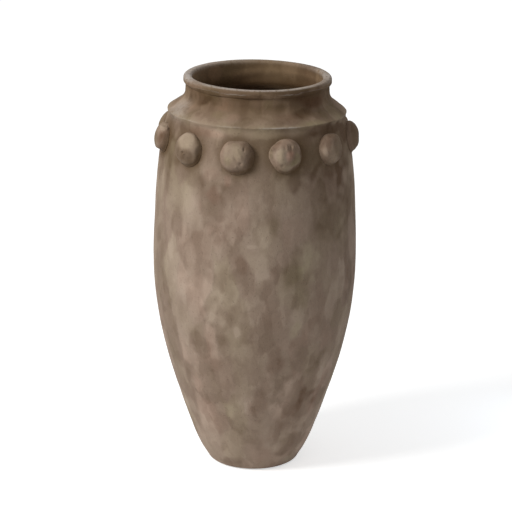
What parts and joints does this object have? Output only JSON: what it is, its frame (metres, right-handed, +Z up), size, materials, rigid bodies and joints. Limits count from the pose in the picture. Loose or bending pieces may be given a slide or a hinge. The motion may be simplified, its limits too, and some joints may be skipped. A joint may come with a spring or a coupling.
{
  "type": "storage jar",
  "caption": "Tall clay storage jar on a narrow flat foot, with a swelling belly, a ring of pressed-on clay knobs under a sloping shoulder, a short neck and a rolled rim.",
  "frame": {"origin": "centre of the foot's flat underside, on the surface the jar stands on", "axes": "+Z up along the jar's axis, front -Y, +X to the right seen from the front"},
  "size_m": [0.2548, 0.2569, 0.5003],
  "materials": {
    "wall_clay": "matte blotched fired clay",
    "knob_clay": "matte hand-rolled fired clay"
  },
  "bodies": {
    "root": {"floor_dish": "wall_clay", "lower_wall": "wall_clay", "belly_wall": "wall_clay", "upper_wall": "wall_clay", "shoulder_ring": "wall_clay", "neck_ring": "wall_clay", "rim_coil": "wall_clay", "knob_01": "knob_clay", "knob_02": "knob_clay", "knob_03": "knob_clay", "knob_04": "knob_clay", "knob_05": "knob_clay", "knob_06": "knob_clay", "knob_07": "knob_clay", "knob_08": "knob_clay", "knob_09": "knob_clay", "knob_10": "knob_clay", "knob_11": "knob_clay"}
  },
  "joints": []
}
